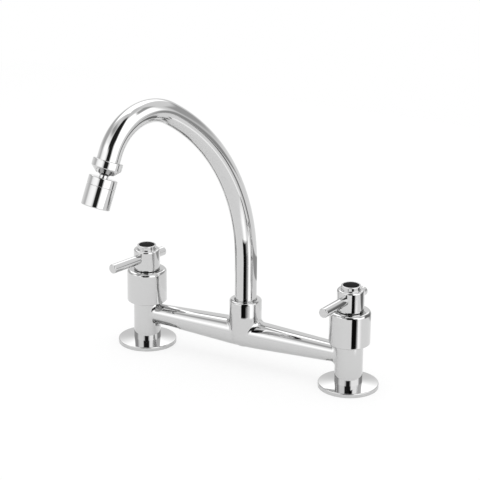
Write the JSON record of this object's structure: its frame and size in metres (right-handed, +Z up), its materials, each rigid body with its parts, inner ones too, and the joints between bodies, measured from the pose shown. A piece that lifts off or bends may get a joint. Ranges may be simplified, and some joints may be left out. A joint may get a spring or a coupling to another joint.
{
  "type": "kitchen mixer tap",
  "caption": "Chrome deck-mounted bridge mixer with quarter-turn bar handles, a swivelling swan-neck spout and a ball-jointed aerator.",
  "frame": {"origin": "midway between the two pillars, on the deck's top face", "axes": "+Z up along the pillars, +X along the bridge to the right-hand pillar, -Y towards the user"},
  "size_m": [0.252, 0.1903, 0.3093],
  "materials": {
    "chrome_plate": "polished chrome plate",
    "bare_brass": "machined brass",
    "zinc_steel": "zinc plated",
    "steel_mesh": "woven stainless wire",
    "black_rubber": "moulded rubber",
    "white_ceramic": "lapped ceramic",
    "white_nylon": "moulded nylon",
    "dark_cap": "moulded dark cap"
  },
  "bodies": {
    "mixer_body": {"bridge_body": "chrome_plate", "thrust_ring": "white_nylon", "spout_grub_screw": "zinc_steel", "left_base_flange": "chrome_plate", "left_deck_gasket": "black_rubber", "left_inlet_shank": "bare_brass", "left_clamp_washer": "zinc_steel", "left_back_nut": "bare_brass", "left_bell_cover": "chrome_plate", "left_cartridge_housing": "bare_brass", "left_housing_oring": "black_rubber", "left_seat_seal": "black_rubber", "left_fixed_disc": "white_ceramic", "right_base_flange": "chrome_plate", "right_deck_gasket": "black_rubber", "right_inlet_shank": "bare_brass", "right_clamp_washer": "zinc_steel", "right_back_nut": "bare_brass", "right_bell_cover": "chrome_plate", "right_cartridge_housing": "bare_brass", "right_housing_oring": "black_rubber", "right_seat_seal": "black_rubber", "right_fixed_disc": "white_ceramic"},
    "left_handle": {"left_moving_disc": "white_ceramic", "left_spindle": "bare_brass", "left_spindle_oring": "black_rubber", "left_spindle_clip": "zinc_steel", "left_handle_hub": "chrome_plate", "left_handle_bar": "chrome_plate", "left_handle_screw": "zinc_steel", "left_index_cap": "dark_cap"},
    "right_handle": {"right_moving_disc": "white_ceramic", "right_spindle": "bare_brass", "right_spindle_oring": "black_rubber", "right_spindle_clip": "zinc_steel", "right_handle_hub": "chrome_plate", "right_handle_bar": "chrome_plate", "right_handle_screw": "zinc_steel", "right_index_cap": "dark_cap"},
    "spout": {"spout_tube": "chrome_plate", "spout_tail": "bare_brass", "spout_orings": "black_rubber", "outlet_adaptor": "chrome_plate", "ball_washer": "black_rubber", "ball_nut": "chrome_plate"},
    "ball_race": {"ball_seat": "white_nylon"},
    "aerator": {"ball_stem": "chrome_plate", "swivel_cup": "chrome_plate", "aerator_shroud": "chrome_plate", "aerator_gasket": "black_rubber", "aerator_insert": "white_nylon", "mesh_screen": "steel_mesh"}
  },
  "joints": [
    {"name": "left_handle_turn", "type": "hinge", "parent": "mixer_body", "child": "left_handle", "pos_m": [-0.1, 0, 0.0805], "axis": [0, 0, 1], "range_deg": [-90, 0]},
    {"name": "right_handle_turn", "type": "hinge", "parent": "mixer_body", "child": "right_handle", "pos_m": [0.1, 0, 0.0805], "axis": [0, 0, 1], "range_deg": [0, 90]},
    {"name": "spout_swivel", "type": "hinge", "parent": "mixer_body", "child": "spout", "pos_m": [0, 0, 0.06], "axis": [0, 0, 1], "continuous": true},
    {"name": "aerator_pan", "type": "hinge", "parent": "spout", "child": "ball_race", "pos_m": [-0.04915, -0.14275, 0.20847], "axis": [-0.1193, -0.3465, -0.9304], "continuous": true},
    {"name": "aerator_tilt", "type": "hinge", "parent": "ball_race", "child": "aerator", "pos_m": [-0.04915, -0.14275, 0.20847], "axis": [0.9455, -0.3256, 0], "range_deg": [-14, 14]}
  ]
}
